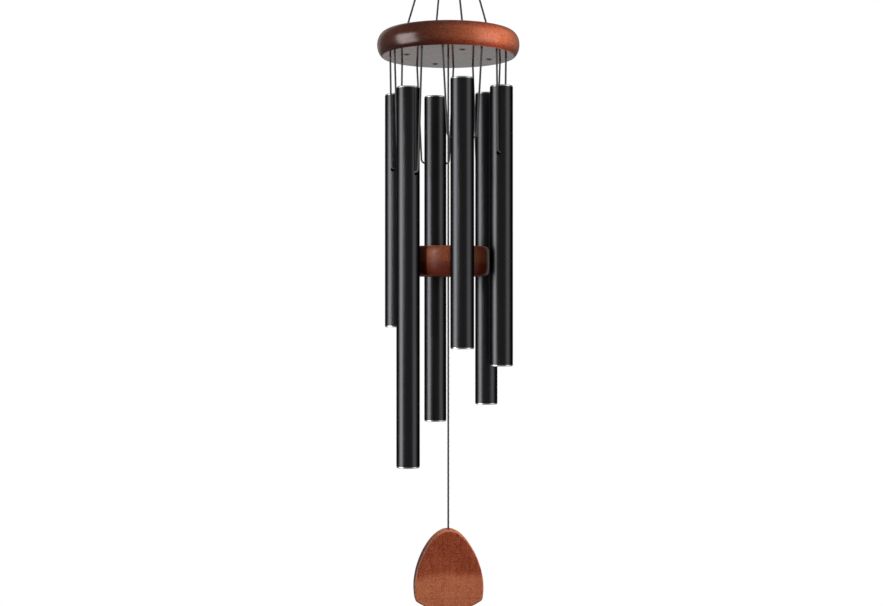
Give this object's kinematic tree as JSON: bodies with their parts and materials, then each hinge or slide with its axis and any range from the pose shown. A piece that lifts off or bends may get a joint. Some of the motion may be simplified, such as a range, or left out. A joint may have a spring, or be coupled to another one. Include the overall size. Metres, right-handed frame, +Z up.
{
  "type": "wind chime",
  "caption": "Hanging wind chime: black aluminium tubes on cords round a wooden striker, below a turned wooden disc, with a wooden wind sail on the middle cord.",
  "frame": {"origin": "where a hook bears, inside the top of the hanging ring", "axes": "+Z up along the chime's middle line, -Y towards the pictured front, +X to the right of that view"},
  "size_m": [0.1368, 0.1368, 0.7356],
  "materials": {
    "black_tube": "satin black coating, bare at the chamfered ends",
    "lacquered_wood": "red-brown stain under clear gloss lacquer",
    "black_cord": "braided black cord",
    "steel_ring": "plated, fine brushed"
  },
  "bodies": {
    "ring": {"hanging_ring": "steel_ring"},
    "loop": {"hanger_loop": "black_cord"},
    "canopy": {"gather_knot": "black_cord", "hanger_cord_1": "black_cord", "hanger_cord_2": "black_cord", "hanger_cord_3": "black_cord", "hanger_cord_4": "black_cord", "top_disc": "lacquered_wood", "tube_knot_1a": "black_cord", "tube_knot_1b": "black_cord", "tube_knot_2a": "black_cord", "tube_knot_2b": "black_cord", "tube_knot_3a": "black_cord", "tube_knot_3b": "black_cord", "tube_knot_4a": "black_cord", "tube_knot_4b": "black_cord", "tube_knot_5a": "black_cord", "tube_knot_5b": "black_cord", "tube_knot_6a": "black_cord", "tube_knot_6b": "black_cord", "striker_top_knot": "black_cord"},
    "tube_1_sling": {"tube_cord_1": "black_cord"},
    "tube_1_body": {"tube_1": "black_tube"},
    "tube_2_sling": {"tube_cord_2": "black_cord"},
    "tube_2_body": {"tube_2": "black_tube"},
    "tube_3_sling": {"tube_cord_3": "black_cord"},
    "tube_3_body": {"tube_3": "black_tube"},
    "tube_4_sling": {"tube_cord_4": "black_cord"},
    "tube_4_body": {"tube_4": "black_tube"},
    "tube_5_sling": {"tube_cord_5": "black_cord"},
    "tube_5_body": {"tube_5": "black_tube"},
    "tube_6_sling": {"tube_cord_6": "black_cord"},
    "tube_6_body": {"tube_6": "black_tube"},
    "striker_lead": {"striker_cord_top": "black_cord"},
    "striker_line": {"striker_cord": "black_cord"},
    "striker_body": {"striker": "lacquered_wood", "striker_knot": "black_cord"},
    "sail_lead": {"sail_cord_top": "black_cord"},
    "sail_line": {"sail_cord": "black_cord"},
    "sail_body": {"sail": "lacquered_wood"}
  },
  "joints": [
    {"name": "chime_swing_side", "type": "hinge", "parent": "ring", "child": "loop", "pos_m": [0, 0, -0.01], "axis": [0, 1, 0], "range_deg": [-15, 15]},
    {"name": "chime_swing_front", "type": "hinge", "parent": "loop", "child": "canopy", "pos_m": [0, 0, -0.0244], "axis": [1, 0, 0], "range_deg": [-15, 15]},
    {"name": "tube_1_swing", "type": "hinge", "parent": "canopy", "child": "tube_1_sling", "pos_m": [0.05047, -0.01447, -0.2009], "axis": [0.2756, 0.9613, 0], "range_deg": [-25, 0.25]},
    {"name": "tube_1_rock", "type": "hinge", "parent": "tube_1_sling", "child": "tube_1_body", "pos_m": [0.05047, -0.01447, -0.29385], "axis": [0.2756, 0.9613, 0], "range_deg": [-10, 0.35]},
    {"name": "tube_2_swing", "type": "hinge", "parent": "canopy", "child": "tube_2_sling", "pos_m": [0.03776, 0.03647, -0.2009], "axis": [-0.6947, 0.7193, 0], "range_deg": [-25, 0.25]},
    {"name": "tube_2_rock", "type": "hinge", "parent": "tube_2_sling", "child": "tube_2_body", "pos_m": [0.03776, 0.03647, -0.29755], "axis": [-0.6947, 0.7193, 0], "range_deg": [-10, 0.35]},
    {"name": "tube_3_swing", "type": "hinge", "parent": "canopy", "child": "tube_3_sling", "pos_m": [-0.0127, 0.05094, -0.2009], "axis": [0.9703, 0.2419, 0], "range_deg": [-0.25, 25]},
    {"name": "tube_3_rock", "type": "hinge", "parent": "tube_3_sling", "child": "tube_3_body", "pos_m": [-0.0127, 0.05094, -0.29775], "axis": [0.9703, 0.2419, 0], "range_deg": [-0.35, 10]},
    {"name": "tube_4_swing", "type": "hinge", "parent": "canopy", "child": "tube_4_sling", "pos_m": [-0.05047, 0.01447, -0.2009], "axis": [0.2756, 0.9613, 0], "range_deg": [-0.25, 25]},
    {"name": "tube_4_rock", "type": "hinge", "parent": "tube_4_sling", "child": "tube_4_body", "pos_m": [-0.05047, 0.01447, -0.30715], "axis": [0.2756, 0.9613, 0], "range_deg": [-0.35, 10]},
    {"name": "tube_5_swing", "type": "hinge", "parent": "canopy", "child": "tube_5_sling", "pos_m": [-0.03776, -0.03647, -0.2009], "axis": [-0.6947, 0.7193, 0], "range_deg": [-0.25, 25]},
    {"name": "tube_5_rock", "type": "hinge", "parent": "tube_5_sling", "child": "tube_5_body", "pos_m": [-0.03776, -0.03647, -0.31525], "axis": [-0.6947, 0.7193, 0], "range_deg": [-0.35, 10]},
    {"name": "tube_6_swing", "type": "hinge", "parent": "canopy", "child": "tube_6_sling", "pos_m": [0.0127, -0.05094, -0.2009], "axis": [0.9703, 0.2419, 0], "range_deg": [-25, 0.25]},
    {"name": "tube_6_rock", "type": "hinge", "parent": "tube_6_sling", "child": "tube_6_body", "pos_m": [0.0127, -0.05094, -0.28375], "axis": [0.9703, 0.2419, 0], "range_deg": [-10, 0.35]},
    {"name": "striker_swing_front", "type": "hinge", "parent": "canopy", "child": "striker_lead", "pos_m": [0, 0, -0.2009], "axis": [1, 0, 0], "range_deg": [-0.45, 0.45]},
    {"name": "striker_swing_side", "type": "hinge", "parent": "striker_lead", "child": "striker_line", "pos_m": [0, 0, -0.2129], "axis": [0, 1, 0], "range_deg": [-0.45, 0.45]},
    {"name": "striker_spin", "type": "hinge", "parent": "striker_line", "child": "striker_body", "pos_m": [0, 0, -0.3831], "axis": [0, 0, 1], "continuous": true},
    {"name": "sail_swing_front", "type": "hinge", "parent": "striker_body", "child": "sail_lead", "pos_m": [0, 0, -0.4121], "axis": [1, 0, 0], "range_deg": [-18, 18]},
    {"name": "sail_swing_side", "type": "hinge", "parent": "sail_lead", "child": "sail_line", "pos_m": [0, 0, -0.4241], "axis": [0, 1, 0], "range_deg": [-18, 18]},
    {"name": "sail_twist", "type": "hinge", "parent": "sail_line", "child": "sail_body", "pos_m": [0, 0, -0.6546], "axis": [0, 0, 1], "continuous": true}
  ]
}
